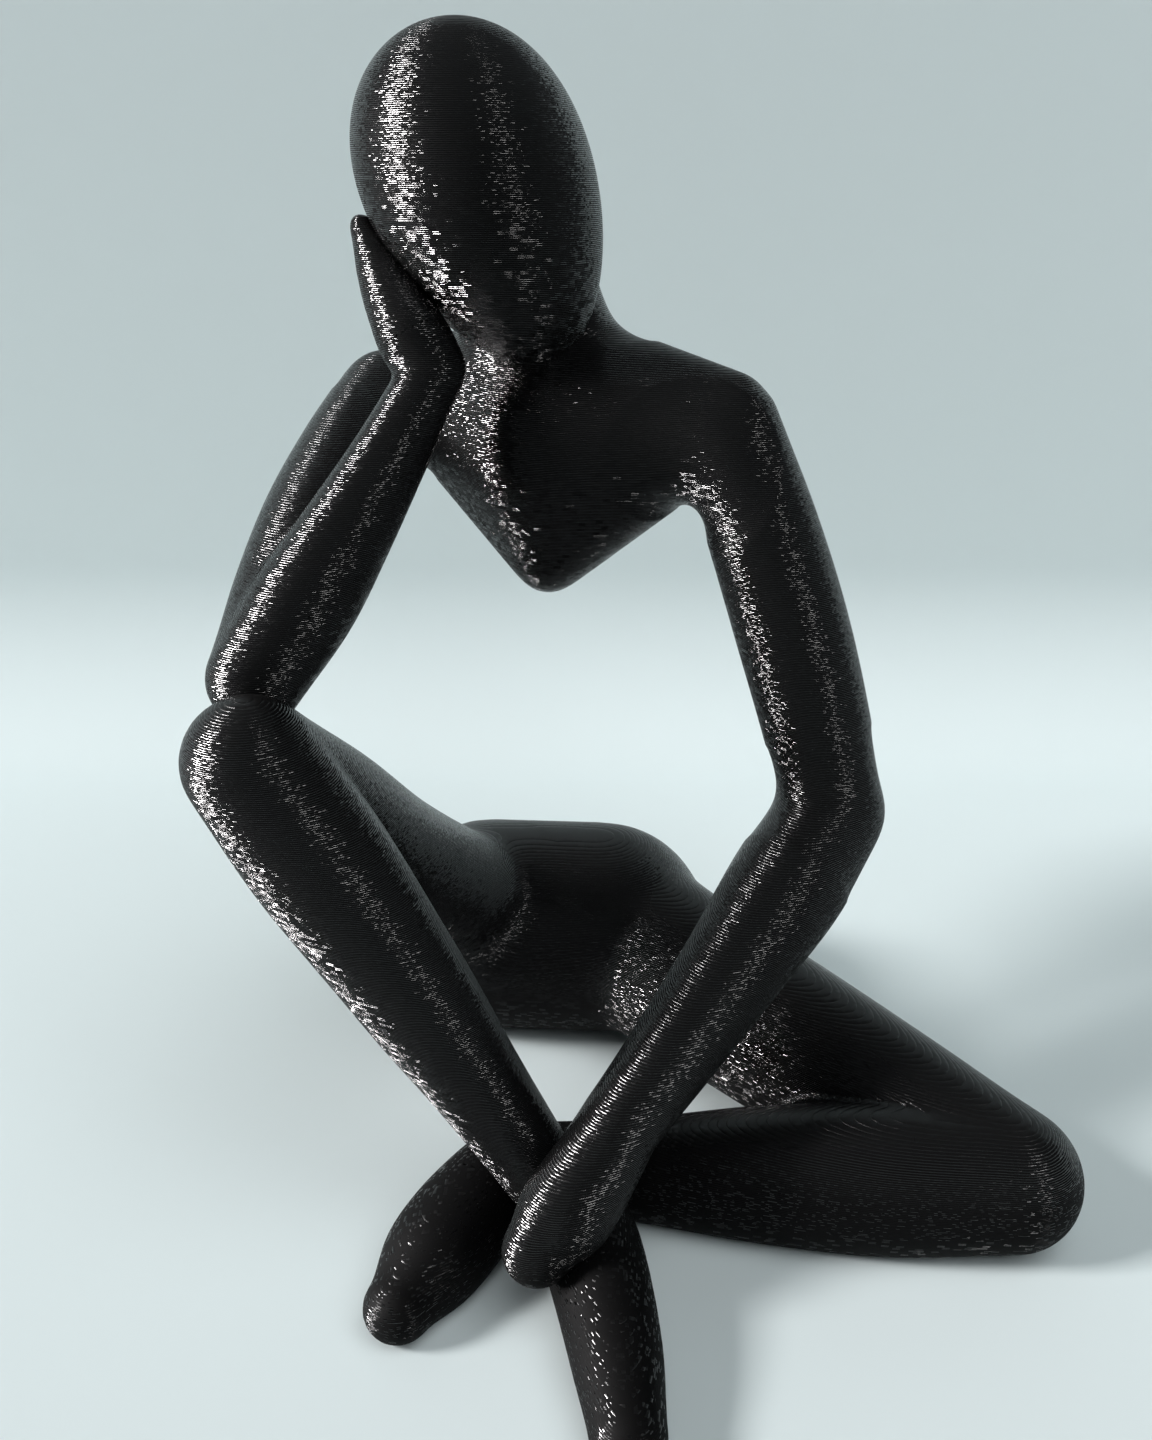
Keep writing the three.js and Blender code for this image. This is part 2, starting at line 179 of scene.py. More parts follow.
# rounds a hollow between limbs
def fillet(bm, centre, reach, steps):
    near = [vert for vert in bm.verts if (vert.co - centre).length < reach]
    for step in range(steps):
        bmesh.ops.smooth_vert(bm, verts=near, factor=skin["softening"],
                              use_axis_x=True, use_axis_y=True, use_axis_z=True)


# the bone that each face lies nearest to, and its place along that bone
def owners(bm, bones):
    centres = np.array([face.calc_center_median() for face in bm.faces])
    measured = [bone.measure(centres) for bone in bones]
    nearest = np.argmin([outside for along, outside in measured], axis=0)
    along = np.array([place for place, outside in measured])
    return nearest, along[nearest, np.arange(len(centres))]


# cuts some of the faces at a plane, and can take away what lies past it
def cutFaces(bm, faces, point, outward, clear):
    edges = {edge for face in faces for edge in face.edges}
    verts = {vert for face in faces for vert in face.verts}
    geom = faces + list(edges) + list(verts)
    bmesh.ops.bisect_plane(bm, geom=geom, dist=skin["cutSnap"], plane_co=point, plane_no=outward,
                           clear_outer=clear)


# cuts the skin square across each bone that parts there
def cutAcross(bm, bones):
    for number, bone in enumerate(bones):
        if bone.cut is None:
            continue
        nearest, along = owners(bm, bones)
        close = (nearest == number) & (abs(along - bone.cut) < skin["cutReach"])
        faces = [face for face, take in zip(bm.faces, close) if take]
        cutFaces(bm, faces, bone.point(bone.cut), bone.heading, False)


# patches that touch the rest of their section nowhere go to the section around them
def joinStrays(bm, labels):
    bm.faces.index_update()
    bm.faces.ensure_lookup_table()
    seen = np.zeros(len(labels), bool)
    islands = {}
    for start in range(len(labels)):
        if seen[start]:
            continue
        seen[start] = True
        island = [start]
        for index in island:
            for edge in bm.faces[index].edges:
                for face in edge.link_faces:
                    if not seen[face.index] and labels[face.index] == labels[start]:
                        seen[face.index] = True
                        island.append(face.index)
        islands.setdefault(labels[start], []).append(island)
    for label, found in islands.items():
        found.sort(key=len)
        for island in found[:-1]:
            around = {labels[face.index] for index in island for edge in bm.faces[index].edges
                      for face in edge.link_faces} - {label}
            for index in island:
                labels[index] = sorted(around)[0] if around else label


# closes each open rim by itself
def closeRims(bm):
    loose = {edge for edge in bm.edges if edge.is_boundary}
    while loose:
        loop = [loose.pop()]
        for edge in loop:
            around = {other for vert in edge.verts for other in vert.link_edges}
            loop += sorted(around & loose, key=lambda other: other.index)
            loose -= around
        bmesh.ops.contextual_create(bm, geom=loop)


# parts a fused skin into its sections, each closed at its cuts, and some that stay joined
def partSections(bm, bones, joined=()):
    cutAcross(bm, bones)
    nearest, along = owners(bm, bones)
    labels = []
    for number, place in zip(nearest, along):
        bone = bones[number]
        past = bone.cut is not None and place > bone.cut
        labels.append(bone.after if past else bone.before)
    joinStrays(bm, labels)
    made = {}
    for names in [(name,) for name in sorted(set(labels))] + list(joined):
        part = bm.copy()
        part.faces.ensure_lookup_table()
        others = [face for face, label in zip(part.faces, labels) if label not in names]
        bmesh.ops.delete(part, geom=others, context="FACES")
        closeRims(part)
        bmesh.ops.recalc_face_normals(part, faces=part.faces)
        made[" ".join(names)] = part
    bm.free()
    return made


# cuts away what lies past a plane, only near a point where two pieces press together
def pressFlat(bm, centre, outward, reach):
    faces = [face for face in bm.faces if (face.calc_center_median() - centre).length < reach]
    cutFaces(bm, faces, centre, outward, True)
    closeRims(bm)


# a flat where a piece rests on the table
def standOnFloor(bm):
    cutFaces(bm, bm.faces[:], (0, 0, 0), -up, True)
    closeRims(bm)


def heldObject(name, bm):
    mesh = bpy.data.meshes.new(name)
    bm.to_mesh(mesh)
    made = bpy.data.objects.new(name, mesh)
    scene.collection.objects.link(made)
    return made


# takes the shape of what a piece touches out of it
def clearOf(bm, *others):
    holder = heldObject("holder", bm)
    bm.free()
    cutters = [heldObject("cutter", other) for other in others]
    for cutter in cutters:
        cut = holder.modifiers.new("contact", "BOOLEAN")
        cut.operation = "DIFFERENCE"
        cut.solver = "MANIFOLD"
        cut.object = cutter
    cleared = bmesh.new()
    cleared.from_object(holder, bpy.context.evaluated_depsgraph_get())
    for used in [holder] + cutters:
        mesh = used.data
        bpy.data.objects.remove(used)
        bpy.data.meshes.remove(mesh)
    return cleared


# seat: a level barrel from hip to hip
seatForm = {"rightEnd": (-20, 35.2), "leftEnd": (-3.5, 34.2), "radius": 15, "flat": 0.8}
# legs: radii at even steps from joint to joint, and where each parts from the section before it
rightLegForm = {"hipAt": (-22.5, 34.5, 14.4), "thigh": (12.4, 10.2, 8.7, 8.3, 7.1), "thighCut": 15.4,
                "kneeAt": (-40.9, -7, 59.4), "knee": 7.2,
                "shin": (7.1, 8.1, 7.8, 6.3, 5.3), "shinCut": 10.2,
                "shinFacing": (-0.59, -0.76, -0.28), "shinFlatness": 0.8, "ankleAt": (-10.5, -11.8, 8.5)}
leftLegForm = {"hipAt": (0.4, 31.2, 13.8), "thigh": (12.2, 11, 10.3, 9.4, 8.4), "thighCut": 15.4,
               "kneeAt": (42.5, -10, 7.8), "shin": (8.4, 8.8, 7.7, 5.9, 4.9), "shinCut": 11.3,
               "ankleAt": (-15.2, -3.9, 4.4), "shinBow": (0, -0.5, 0)}
rightFootForm = {"heelAside": 2.6, "heelHeight": 7.1, "heading": (0.19, -0.98), "length": 29,
                 "toeHeight": 3.2, "radii": (5.2, 5.6, 5.3, 4.75, 3.9), "bow": (0.8, 0, 0), "cut": 7.9,
                 "flatness": 0.96}
leftFootForm = {"heading": (-0.48, -0.88), "length": 23.5, "toeHeight": 3.4,
                "radii": (5.4, 5.9, 6.15, 5.7, 3.9), "bow": (-0.3, 0, 0.4), "cut": 7.9, "flatness": 0.96}

rightSeat = Vector((*seatForm["rightEnd"], seatForm["radius"] - seatForm["flat"]))
leftSeat = Vector((*seatForm["leftEnd"], seatForm["radius"] - seatForm["flat"]))
rightKnee = Vector(rightLegForm["kneeAt"])
rightAnkle = Vector(rightLegForm["ankleAt"])
leftAnkle = Vector(leftLegForm["ankleAt"])
rightFootHeading = unit(*rightFootForm["heading"])
rightHeel = rightAnkle + up.cross(rightFootHeading) * rightFootForm["heelAside"]
rightHeel.z = rightFootForm["heelHeight"]
rightToe = rightHeel + rightFootHeading * rightFootForm["length"]
rightToe.z = rightFootForm["toeHeight"]
leftToe = leftAnkle + unit(*leftFootForm["heading"]) * leftFootForm["length"]
leftToe.z = leftFootForm["toeHeight"]

seat = Bone(rightSeat, leftSeat, (seatForm["radius"],) * 2).parted("pelvis")
rightThigh = Bone(rightLegForm["hipAt"], rightKnee, rightLegForm["thigh"])
rightThigh.parted("pelvis", rightLegForm["thighCut"], "right_thigh")
leftThigh = Bone(leftLegForm["hipAt"], leftLegForm["kneeAt"], leftLegForm["thigh"])
leftThigh.parted("pelvis", leftLegForm["thighCut"], "left_thigh")
rightShin = Bone(rightKnee, rightAnkle, rightLegForm["shin"], rightLegForm["shinFacing"],
                 rightLegForm["shinFlatness"])
rightShin.parted("right_thigh", rightLegForm["shinCut"], "right_shin")
leftShin = Bone(leftLegForm["kneeAt"], leftAnkle, leftLegForm["shin"], bow=leftLegForm["shinBow"])
leftShin.parted("left_thigh", leftLegForm["shinCut"], "left_shin")
rightFoot = Bone(rightHeel, rightToe, rightFootForm["radii"], -up, rightFootForm["flatness"],
                 rightFootForm["bow"])
rightFoot.parted("right_shin", rightFootForm["cut"], "right_foot")
leftFoot = Bone(leftAnkle, leftToe, leftFootForm["radii"], -up, leftFootForm["flatness"],
                leftFootForm["bow"])
leftFoot.parted("left_shin", leftFootForm["cut"], "left_foot")

# trunk: the skin over balls at the shoulders, the neck's root, the breast and the tip
torsoForm = {"neckRoot": (-10.7, 37, 90.2), "neckRootRadius": 9.9, "neck": (9.8, 9.2, 8.6),
             "neckTop": (-15.4, 33, 109), "breastAt": (-10.8, 28.3, 84.5), "breast": 10.4,
             "tipAt": (-10.9, 28, 70.9), "tip": 4.5, "rightWing": (-31, 43, 90.2), "rightWingRadius": 4.0,
             "leftWing": (9.3, 19, 89.8), "leftWingRadius": 5.2}
headForm = {"at": (-17.3, 27.2, 112), "width": 25.1, "depth": 28.5, "height": 37.8, "lean": 23, "bow": 8,
            "egg": 0.17, "around": 160, "rings": 110}
# arms: radii as in the legs, and how far each middle bends out of line
rightArmForm = {"shoulderAt": (-31.7, 41, 88.8), "upper": (6.1, 6.9, 7.2, 6.5, 5.3),
                "upperBow": (-0.3, 0, 0.1), "upperCut": 8.9,
                "elbowOnKnee": (-0.1, 0.86, 0.5), "elbow": 5.4, "press": 1.6,
                "forearm": (5.3, 5.75, 5.0, 4.15, 3.65), "forearmBow": (0.5, 0, -0.2), "forearmCut": 8.4,
                "wristAt": (-23.1, 18.6, 94.8), "hand": (3.8, 4.4, 3.9, 2.85, 1.7),
                "handBow": (-0.6, 0, 0.2), "handCut": 4.3, "tipsAt": (-30.9, 24.1, 109.4),
                "palmFacing": (-0.6, -0.33, -0.73), "flatness": 0.85}
leftArmForm = {"shoulderAt": (9.5, 18.5, 88.6), "upper": (5.9, 6.45, 6.7, 6.5, 6.1),
               "upperBow": (0.9, 0, 0.2), "upperCut": 8.9, "elbowAt": (24.0, 13.8, 43.4),
               "forearm": (6.6, 7.0, 6.05, 5.2, 4.5), "forearmBow": (0.4, -0.1, -0.25), "forearmCut": 8.7,
               "wristAt": (-2.7, -15.3, 20.1), "hand": (4.5, 4.75, 5.1, 5.15, 3.9),
               "handBow": (0.3, 0, -0.2), "handCut": 5.3, "tipsAt": (-11.5, -24.1, 11),
               "palmFacing": (0.18, -0.84, 0.5), "flatness": 0.85}

headAt = Vector(headForm["at"])
elbowOnKnee = unit(*rightArmForm["elbowOnKnee"])
elbowReach = rightLegForm["knee"] + rightArmForm["elbow"] - rightArmForm["press"]
rightArmForm["elbowAt"] = rightKnee + elbowOnKnee * elbowReach


# shoulder to elbow, elbow to wrist and wrist to fingertips
def armBones(side, form):
    upper = Bone(form["shoulderAt"], form["elbowAt"], form["upper"], bow=form["upperBow"])
    forearm = Bone(form["elbowAt"], form["wristAt"], form["forearm"], bow=form["forearmBow"])
    hand = Bone(form["wristAt"], form["tipsAt"], form["hand"], form["palmFacing"], form["flatness"],
                form["handBow"])
    return [upper.parted("torso", form["upperCut"], side + "_upper_arm"),
            forearm.parted(side + "_upper_arm", form["forearmCut"], side + "_forearm"),
            hand.parted(side + "_forearm", form["handCut"], side + "_hand")]


rightArm = armBones("right", rightArmForm)
leftArm = armBones("left", leftArmForm)
neck = Bone(torsoForm["neckRoot"], torsoForm["neckTop"], torsoForm["neck"]).parted("torso")
wingBalls = [(Vector(torsoForm[name]), torsoForm[name + "Radius"]) for name in ("rightWing", "leftWing")]
rootBall = (Vector(torsoForm["neckRoot"]), torsoForm["neckRootRadius"])
breastBall = (Vector(torsoForm["breastAt"]), torsoForm["breast"])
tipBall = (Vector(torsoForm["tipAt"]), torsoForm["tip"])
chestBalls = wingBalls + [rootBall, breastBall, tipBall]


# stands for a stretch of the chest when faces look for their nearest bone
def rib(first, last):
    return Bone(first[0], last[0], (first[1], last[1])).parted("torso")


ribs = [rib(ball, breastBall) for ball in wingBalls + [rootBall, tipBall]]
ribs += [rib(ball, tipBall) for ball in wingBalls]


def headSkin():
    bm = bmesh.new()
    bmesh.ops.create_uvsphere(bm, u_segments=headForm["around"], v_segments=headForm["rings"], radius=1)
    for vert in bm.verts:
        swell = 1 + headForm["egg"] * vert.co.z
        vert.co.x *= swell
        vert.co.y *= swell
    size = Matrix.Diagonal((headForm["width"] / 2, headForm["depth"] / 2, headForm["height"] / 2, 1))
    bow = Matrix.Rotation(math.radians(headForm["bow"]), 4, "X")
    lean = Matrix.Rotation(-math.radians(headForm["lean"]), 4, "Y")
    bmesh.ops.transform(bm, matrix=Matrix.Translation(headAt) @ lean @ bow @ size, verts=bm.verts)
    bmesh.ops.recalc_face_normals(bm, faces=bm.faces)
    return bm


upperBody = bmesh.new()
stretchSkin(upperBody, chestBalls)
for bone in [neck] + rightArm + leftArm:
    growLimb(upperBody, bone.rings())
upperBody = fuse("upperBody", upperBody)

# soft hollows: centre, reach and how long they are rubbed
chestRubs = [((-11, 30, 82), 20, 50), ((-17, 24, 85), 9, 60), ((-6, 37, 97), 12, 140),
             ((5, 14, 85), 10, 240), ((-29, 40, 87), 10, 80), ((24, 13.8, 43.4), 12, 90)]
seatRubs = [((-20, 30, 14), 18, 60), ((0, 30, 14), 18, 25), ((-15, 21, 14), 13, 200)]
for centre, reach, steps in chestRubs:
    fillet(upperBody, Vector(centre), reach, steps)

kneeStub = 2 * leftShin.cut        # enough of the folded shin to shape the knee
lowerBody = bmesh.new()
for bone in (seat, rightThigh, leftThigh, rightShin, rightFoot):
    growLimb(lowerBody, bone.rings())
growLimb(lowerBody, leftShin.rings(kneeStub))
lowerBody = fuse("lowerBody", lowerBody)

for centre, reach, steps in seatRubs:
    fillet(lowerBody, Vector(centre), reach, steps)

foldedLeg = bmesh.new()
for bone in (leftThigh, leftShin, leftFoot):
    growLimb(foldedLeg, bone.rings())
foldedLeg = fuse("foldedLeg", foldedLeg)

prints = partSections(upperBody, [neck] + ribs + rightArm + leftArm)
legNames = ("right_shin", "right_foot")
legBones = [seat, rightThigh, leftThigh, rightShin, rightFoot, leftShin]
prints.update(partSections(lowerBody, legBones, [legNames]))
lowerLeg = prints.pop(" ".join(legNames))
folded = partSections(foldedLeg, [leftThigh, leftShin, leftFoot])
for name in ("left_shin", "left_foot"):
    prints[name] = folded[name]
prints["head"] = headSkin()
print("sections", sorted(prints))

# the elbow and the knee press flat against each other
knee = rightLegForm["knee"]
pressPlane = (elbowReach ** 2 + knee ** 2 - rightArmForm["elbow"] ** 2) / (2 * elbowReach)
pressPoint = rightKnee + elbowOnKnee * pressPlane
pressFlat(prints["right_upper_arm"], pressPoint, -elbowOnKnee, knee)
pressFlat(prints["right_thigh"], pressPoint, elbowOnKnee, knee / 2)

for name in ("torso", "right_hand", "right_forearm"):
    prints[name] = clearOf(prints[name], prints["head"])
for name in ("left_hand", "left_forearm", "left_shin", "left_foot"):
    prints[name] = clearOf(prints[name], lowerLeg)
lowerLeg.free()
for name in ("pelvis", "left_thigh", "left_shin", "left_foot", "right_shin", "right_foot"):
    standOnFloor(prints[name])
print("contacts cleared, soles flat")


class Wire:
    # a node's socket that takes part in sums
    def __init__(self, finish, socket):
        self.finish = finish
        self.socket = socket

    def maths(self, operation, *values):
        return self.finish.node("ShaderNodeMath", {"operation": operation}, dict(enumerate(values)))

    def vector(self, operation, *values):
        return self.finish.node("ShaderNodeVectorMath", {"operation": operation}, dict(enumerate(values)))

    def pick(self, name):
        return Wire(self.finish, self.socket.node.outputs[name])

    def __add__(self, other):
        return self.maths("ADD", self, other)

    def __sub__(self, other):
        return self.maths("SUBTRACT", self, other)

    def __rsub__(self, other):
        return self.maths("SUBTRACT", other, self)

    def __mul__(self, other):
        return self.maths("MULTIPLY", self, other)

    def __truediv__(self, other):
        return self.maths("DIVIDE", self, other)

    __radd__ = __add__
    __rmul__ = __mul__


class Finish:
    # a material or a world under construction
    def __init__(self, block):
        self.block = block
        block.use_nodes = True
        self.tree = block.node_tree
        self.tree.nodes.clear()

    def node(self, kind, settings=None, sockets=None, out=0):
        made = self.tree.nodes.new(kind)
        for key, value in (settings or {}).items():
            setattr(made, key, value)
        for key, value in (sockets or {}).items():
            if isinstance(value, Wire):
                self.tree.links.new(value.socket, made.inputs[key])
            else:
                made.inputs[key].default_value = value
        return Wire(self, made.outputs[out]) if made.outputs else made

    def close(self, surface, kind="ShaderNodeOutputMaterial"):
        self.node(kind, None, {"Surface": surface})
        return self.block


# black plastic laid down in level layers: round beads, broken into short strands that each lie a little
# askew, with painted shade on the lower part of each bead where the next bead shades it,
# duller on level tops and in the first layers on the bed
printedLook = {"colour": (0.002, 0.002, 0.0021, 1), "ior": 1.5, "roughness": 0.11, "roughSpread": 0.06,
               "topRoughness": 0.2, "topDull": 0.45, "topNarrow": 4,
               "bedDull": 0.8, "bedShare": 0.8, "bedDepth": 9 * mm, "bedHeight": 14 * mm,
               "layer": 0.2 * mm, "roundness": math.radians(140), "flattening": 0.25,
               "wander": 0.35, "wanderSize": 9 * mm,
               "strandLength": 0.42 * mm, "layerShift": 23.7, "askew": (0.21, 0.21, 0.1), "droop": 1.5,
               "overhang": -0.15, "lump": 1.0,
               # where the painted shade lies on each bead, and the dull shader that paints it and also the
               # duller tops
               "beadShadeDeep": 0.3, "beadShadeEdge": 0.55, "beadShadeLift": 0.35, "shadeAndDullRoughness": 0.7,
               "shadeAndDullGloss": 0.05}


def printedBlack():
    look = printedLook
    finish = Finish(bpy.data.materials.new("printed_black"))
    spot = finish.node("ShaderNodeTexCoord", out="Object")
    axes = finish.node("ShaderNodeSeparateXYZ", None, {"Vector": spot})
    wander = finish.node("ShaderNodeTexNoise", {"noise_dimensions": "3D"},
                         {"Vector": spot, "Scale": 1 / look["wanderSize"], "Detail": 0})
    layers = axes.pick("Z") / look["layer"] + wander * look["wander"]
    layer = layers.maths("FLOOR", layers)
    place = layers - layer
    outward = finish.node("ShaderNodeNewGeometry", out="Normal")
    steep = finish.node("ShaderNodeSeparateXYZ", None, {"Vector": outward}).pick("Z")
    wall = 1 - steep * steep
    rise = layers.maths("TANGENT", (place - 0.5) * look["roundness"])
    rise = rise * wall.maths("POWER", wall, look["flattening"])
    droop = wall.maths("SQRT", wall) + steep.maths("MAXIMUM", 0 - steep, 0) * look["droop"]
    lump = 1 + steep.maths("LESS_THAN", steep, look["overhang"]) * look["lump"]
    band = layer.maths("FLOOR", layer / lump)
    shift = finish.node("ShaderNodeTexWhiteNoise", {"noise_dimensions": "1D"}, {"W": band})
    shift = shift * look["layerShift"]
    strandX = axes.pick("X") / (lump * look["strandLength"]) + shift
    strandY = axes.pick("Y") / (lump * look["strandLength"]) + shift
    strandSpot = finish.node("ShaderNodeCombineXYZ", None, {
        "X": strandX.maths("FLOOR", strandX), "Y": strandY.maths("FLOOR", strandY), "Z": band})
    strand = finish.node("ShaderNodeTexWhiteNoise", {"noise_dimensions": "3D"}, {"Vector": strandSpot})
    # from -1 to 1, and mostly small
    swing = strand.vector("MULTIPLY_ADD", strand.pick("Color"), (2, 2, 2), (-1, -1, -1))
    swing = swing.vector("MULTIPLY", swing, swing.vector("ABSOLUTE", swing))
    swing = swing.vector("MULTIPLY", swing, look["askew"])
    swing = finish.node("ShaderNodeVectorMath", {"operation": "SCALE"}, {0: swing, "Scale": droop})
    bead = finish.node("ShaderNodeCombineXYZ", None, {"Z": rise})
    facing = outward.vector("ADD", outward, swing.vector("ADD", swing, bead))
    facing = facing.vector("NORMALIZE", facing)
    level = steep.maths("MAXIMUM", steep, 0)
    level = level.maths("POWER", level, look["topNarrow"])
    rough = look["roughness"] + wander * look["roughSpread"] + level * look["topRoughness"]
    plastic = finish.node("ShaderNodeBsdfPrincipled", None, {
        "Base Color": look["colour"], "Roughness": rough, "Normal": facing, "IOR": look["ior"]})
    # a dull black shader: painted shade in the lower part of each bead, and the duller level tops and bed
    # layers
    shadeAndDull = finish.node("ShaderNodeBsdfPrincipled", None, {
        "Base Color": look["colour"], "Roughness": look["shadeAndDullRoughness"],
        "Specular IOR Level": look["shadeAndDullGloss"]})
    # painted shade: on walls the lower part of each bead takes the dull shader, as if shaded by the next
    # bead
    outsideBeadShade = finish.node("ShaderNodeMapRange", {"interpolation_type": "SMOOTHSTEP"}, {
        "Value": place + steep * look["beadShadeLift"],
        "From Min": look["beadShadeDeep"], "From Max": look["beadShadeEdge"]})
    low = finish.node("ShaderNodeMapRange", {"interpolation_type": "SMOOTHSTEP"}, {
        "Value": axes.pick("Z"), "From Min": look["bedDepth"], "From Max": look["bedHeight"],
        "To Min": 1, "To Max": 0})
    matt = strand.maths("LESS_THAN", strand, look["bedShare"])
    dull = level * look["topDull"] + low * matt * look["bedDull"]
    # mixes the glossy beads with the painted bead shade and with the duller tops and bed layers
    shown = finish.node("ShaderNodeMixShader", None, {
        0: 1 - (1 - outsideBeadShade) * wall - dull, 1: shadeAndDull, 2: plastic})
    return finish.close(shown)


# matt rods inside the joints
dowelLook = {"colour": (0.03, 0.03, 0.032, 1), "fleck": (0.05, 0.05, 0.052, 1), "fleckSize": 0.8 * mm,
             "fleckDetail": 2, "roughness": 0.6, "roughSpread": 0.1}


def dowelPlastic():
    look = dowelLook
    finish = Finish(bpy.data.materials.new("dowel_plastic"))
    spot = finish.node("ShaderNodeTexCoord", out="Object")
    speckle = finish.node("ShaderNodeTexNoise", {"noise_dimensions": "3D"},
                          {"Vector": spot, "Scale": 1 / look["fleckSize"], "Detail": look["fleckDetail"]})
    colour = finish.node("ShaderNodeMix", {"data_type": "RGBA"},
                         {"Factor": speckle, 6: look["colour"], 7: look["fleck"]}, out=2)
    plastic = finish.node("ShaderNodeBsdfPrincipled", None, {
        "Base Color": colour, "Roughness": look["roughness"] + speckle * look["roughSpread"]})
    return finish.close(plastic)


# the dowel under the elbow shows where the pose stands in the frame
restLow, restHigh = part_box("elbow_rest_dowel")
dowelGap = 0.15        # from the knee's ball to the dowel's middle, in millimetres
poseShift = (restLow + restHigh) / 2 / mm - (rightKnee + elbowOnKnee * (knee + dowelGap))
print("pose shift in mm", tuple(round(value, 3) for value in poseShift))

blackFinish = printedBlack()
for name, bm in prints.items():
    bmesh.ops.translate(bm, vec=poseShift, verts=bm.verts)
    bmesh.ops.scale(bm, vec=(mm, mm, mm), verts=bm.verts)
    for face in bm.faces:
        face.smooth = True
    for edge in bm.edges:
        edge.smooth = edge.calc_face_angle(0) < math.radians(skin["creaseAngle"])
    piece = heldObject("printed_" + name, bm)
    piece.data.materials.append(blackFinish)
    print(piece.name, len(bm.faces), "faces,", sum(edge.is_boundary for edge in bm.edges), "open edges")
    bm.free()
    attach(piece, "root")
    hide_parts(name)

rodFinish = dowelPlastic()
for name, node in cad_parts.items():
    if name.endswith("_dowel"):
        node.data.materials.clear()
        node.data.materials.append(rodFinish)
print("dowels finished")

# pale paper that sweeps up behind the figure
paperLook = {"colour": (0.662, 0.735, 0.738, 1), "front": -0.35, "back": 0.11, "half": 1.4, "rise": 0.16,
             "bend": 0.035, "bendSteps": 16, "roughness": 0.85}


def paperSweep():
    bm = bmesh.new()
    front = [bm.verts.new((x, paperLook["front"], 0)) for x in (-paperLook["half"], paperLook["half"])]
    edge = bm.edges.new(front)
    flat = bmesh.ops.extrude_edge_only(bm, edges=[edge])["geom"]
    moved = [item for item in flat if isinstance(item, bmesh.types.BMVert)]
    bmesh.ops.translate(bm, vec=(0, paperLook["back"] - paperLook["front"], 0), verts=moved)
    far = [item for item in flat if isinstance(item, bmesh.types.BMEdge) and set(item.verts) == set(moved)]
    centre = (0, paperLook["back"], paperLook["bend"])
    curl = bmesh.ops.spin(bm, geom=far, cent=centre, axis=(1, 0, 0), angle=math.pi / 2,
                          steps=paperLook["bendSteps"])["geom_last"]
    top = [item for item in curl if isinstance(item, bmesh.types.BMEdge)]
    wall = bmesh.ops.extrude_edge_only(bm, edges=top)["geom"]
    moved = [item for item in wall if isinstance(item, bmesh.types.BMVert)]
    bmesh.ops.translate(bm, vec=(0, 0, paperLook["rise"]), verts=moved)
    bmesh.ops.recalc_face_normals(bm, faces=bm.faces)
    if min(face.normal.z for face in bm.faces) < -max(face.normal.z for face in bm.faces):
        bmesh.ops.reverse_faces(bm, faces=bm.faces)
    for face in bm.faces:
        face.smooth = True
    sheet = heldObject("paper", bm)
    bm.free()
    finish = Finish(bpy.data.materials.new("pale_paper"))
    paper = finish.node("ShaderNodeBsdfPrincipled", None, {
        "Base Color": paperLook["colour"], "Roughness": paperLook["roughness"], "Specular IOR Level": 0})
    # a viewer behind the sheet sees through it
    seen = finish.node("ShaderNodeLightPath", out="Is Camera Ray")
    hidden = finish.node("ShaderNodeNewGeometry", out="Backfacing") * seen
    nothing = finish.node("ShaderNodeBsdfTransparent")
    shown = finish.node("ShaderNodeMixShader", None, {0: hidden, 1: paper, 2: nothing})
    sheet.data.materials.append(finish.close(shown))


paperSweep()
print("paper laid")

# lamps stand round the figure: bearing from the viewer's side, height angle, distance and size in metres
lampForms = {
    "sideWindow": {"bearing": -82, "lift": 24, "distance": 2.0, "width": 0.25, "height": 1.5, "power": 211,
                   "colour": (1.0, 0.965, 0.97), "glow": False},
    "lowWindow": {"bearing": -82, "lift": 5, "distance": 2.0, "width": 0.25, "height": 0.4, "power": 76,
                  "colour": (1.0, 0.965, 0.97), "glow": False},
    "frontWindow": {"bearing": 43, "lift": 25, "distance": 1.5, "width": 0.16, "height": 0.5, "power": 6,
                    "colour": (1.0, 0.98, 0.97), "glow": False},
    "sideGlow": {"bearing": -77, "lift": 33, "distance": 6.0, "width": 1.3, "height": 1.3, "power": 335,
                 "colour": (1.0, 0.98, 0.975), "glints": False},
    "skyPanel": {"bearing": 30, "lift": 60, "distance": 1.6, "width": 1.4, "height": 1.4, "power": 15.5,
                 "colour": (0.95, 0.98, 1.0), "glints": False},
}
lampAim = Vector((0, 0, 0.06))


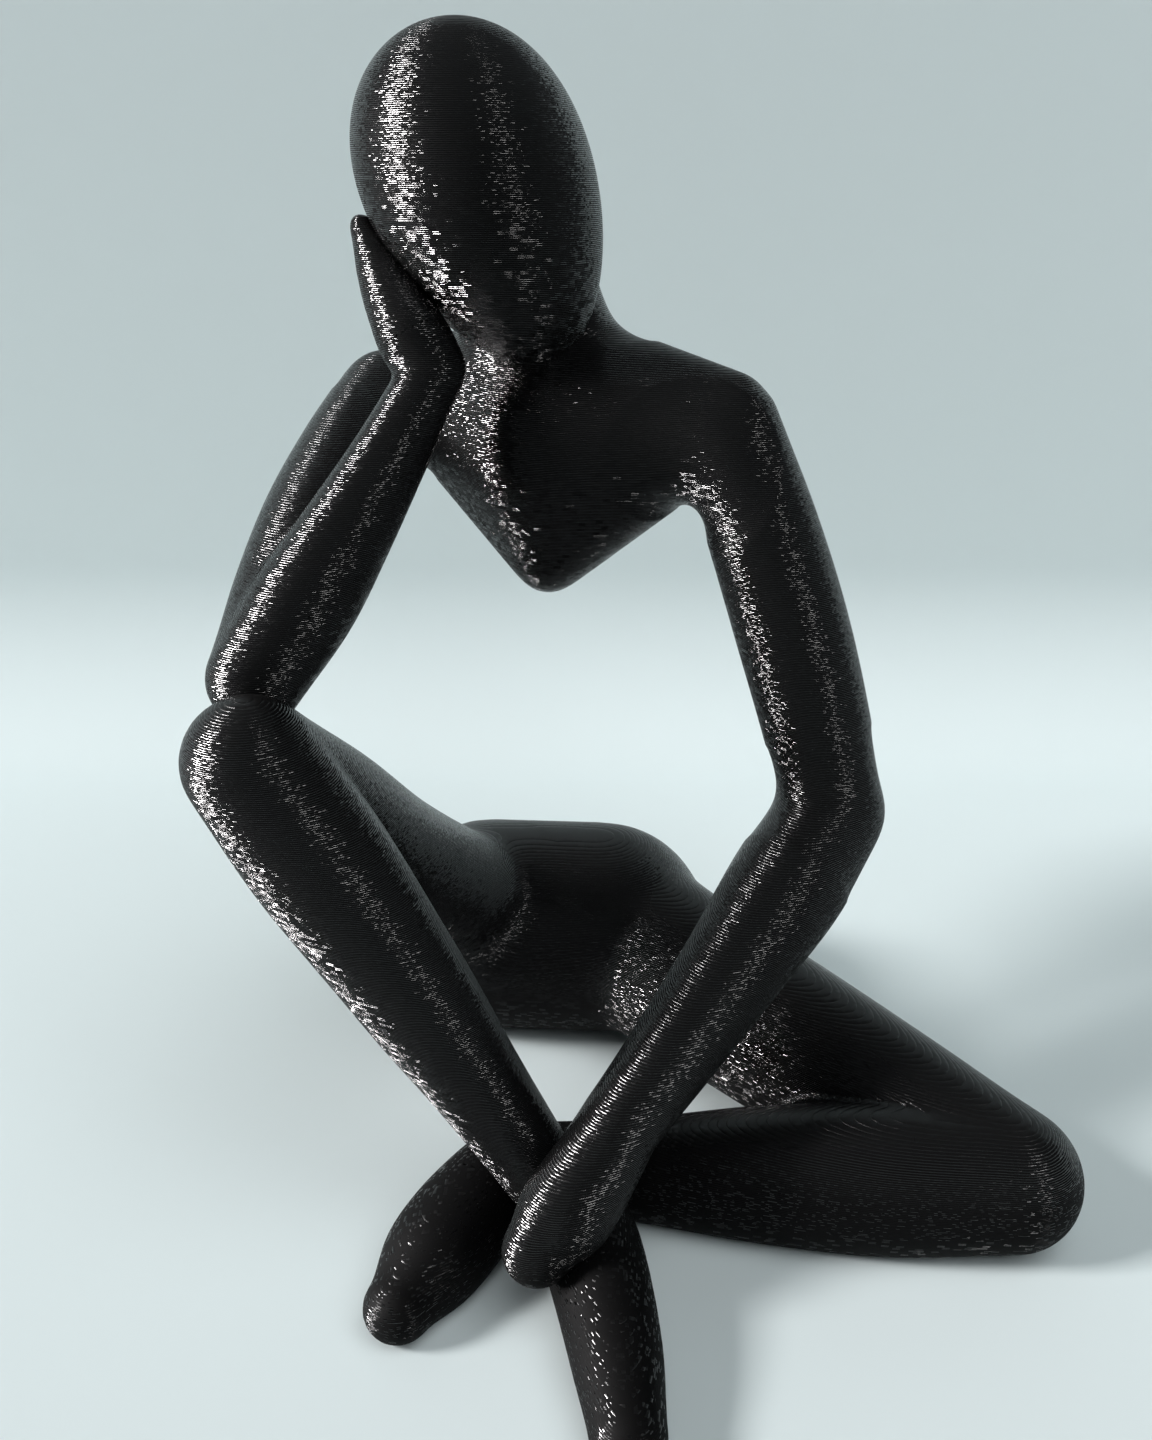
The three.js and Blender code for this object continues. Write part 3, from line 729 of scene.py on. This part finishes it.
def hangLamp(name, form):
    bearing = math.radians(form["bearing"])
    lift = math.radians(form["lift"])
    level = Vector((math.sin(bearing), -math.cos(bearing), 0))
    lamp = bpy.data.lights.new(name, "AREA")
    lamp.shape = "RECTANGLE"
    lamp.size = form["width"]
    lamp.size_y = form["height"]
    lamp.energy = form["power"]
    lamp.color = form["colour"]
    stand = bpy.data.objects.new(name, lamp)
    stand.location = lampAim + (level * math.cos(lift) + up * math.sin(lift)) * form["distance"]
    stand.rotation_euler = (lampAim - stand.location).to_track_quat("-Z", "Y").to_euler()
    stand.visible_diffuse = form.get("glow", True)
    stand.visible_glossy = form.get("glints", True)
    scene.collection.objects.link(stand)


for name, form in lampForms.items():
    hangLamp(name, form)
print(len(lampForms), "lamps hung")

roomLook = {"colour": (0.86, 0.93, 0.97, 1), "strength": 0.1, "pale": (0.5, 0.58, 0.585, 1)}


# dim round the figure, and pale where the viewer looks past the paper
def paleRoom():
    finish = Finish(bpy.data.worlds.new("room"))
    dim = finish.node("ShaderNodeBackground", None, {
        "Color": roomLook["colour"], "Strength": roomLook["strength"]})
    pale = finish.node("ShaderNodeBackground", None, {"Color": roomLook["pale"], "Strength": 1})
    seen = finish.node("ShaderNodeLightPath", out="Is Camera Ray")
    shown = finish.node("ShaderNodeMixShader", None, {0: seen, 1: dim, 2: pale})
    return finish.close(shown, "ShaderNodeOutputWorld")


scene.world = paleRoom()

# the viewer, at the height of the head
viewForm = {"at": (-7.5, -128, 115.5), "lookDown": 23, "lens": 32.5, "sensor": 36, "nearest": 5 * mm}
viewer = bpy.data.cameras.new("viewer")
viewer.sensor_fit = "VERTICAL"
viewer.sensor_height = viewForm["sensor"]
viewer.lens = viewForm["lens"]
viewer.clip_start = viewForm["nearest"]
stand = bpy.data.objects.new("viewer", viewer)
stand.location = (Vector(viewForm["at"]) + poseShift) * mm
stand.rotation_euler = (math.radians(90 - viewForm["lookDown"]), 0, 0)
scene.collection.objects.link(stand)
scene.camera = stand
print("viewer in place")

scene.view_settings.view_transform = "Standard"
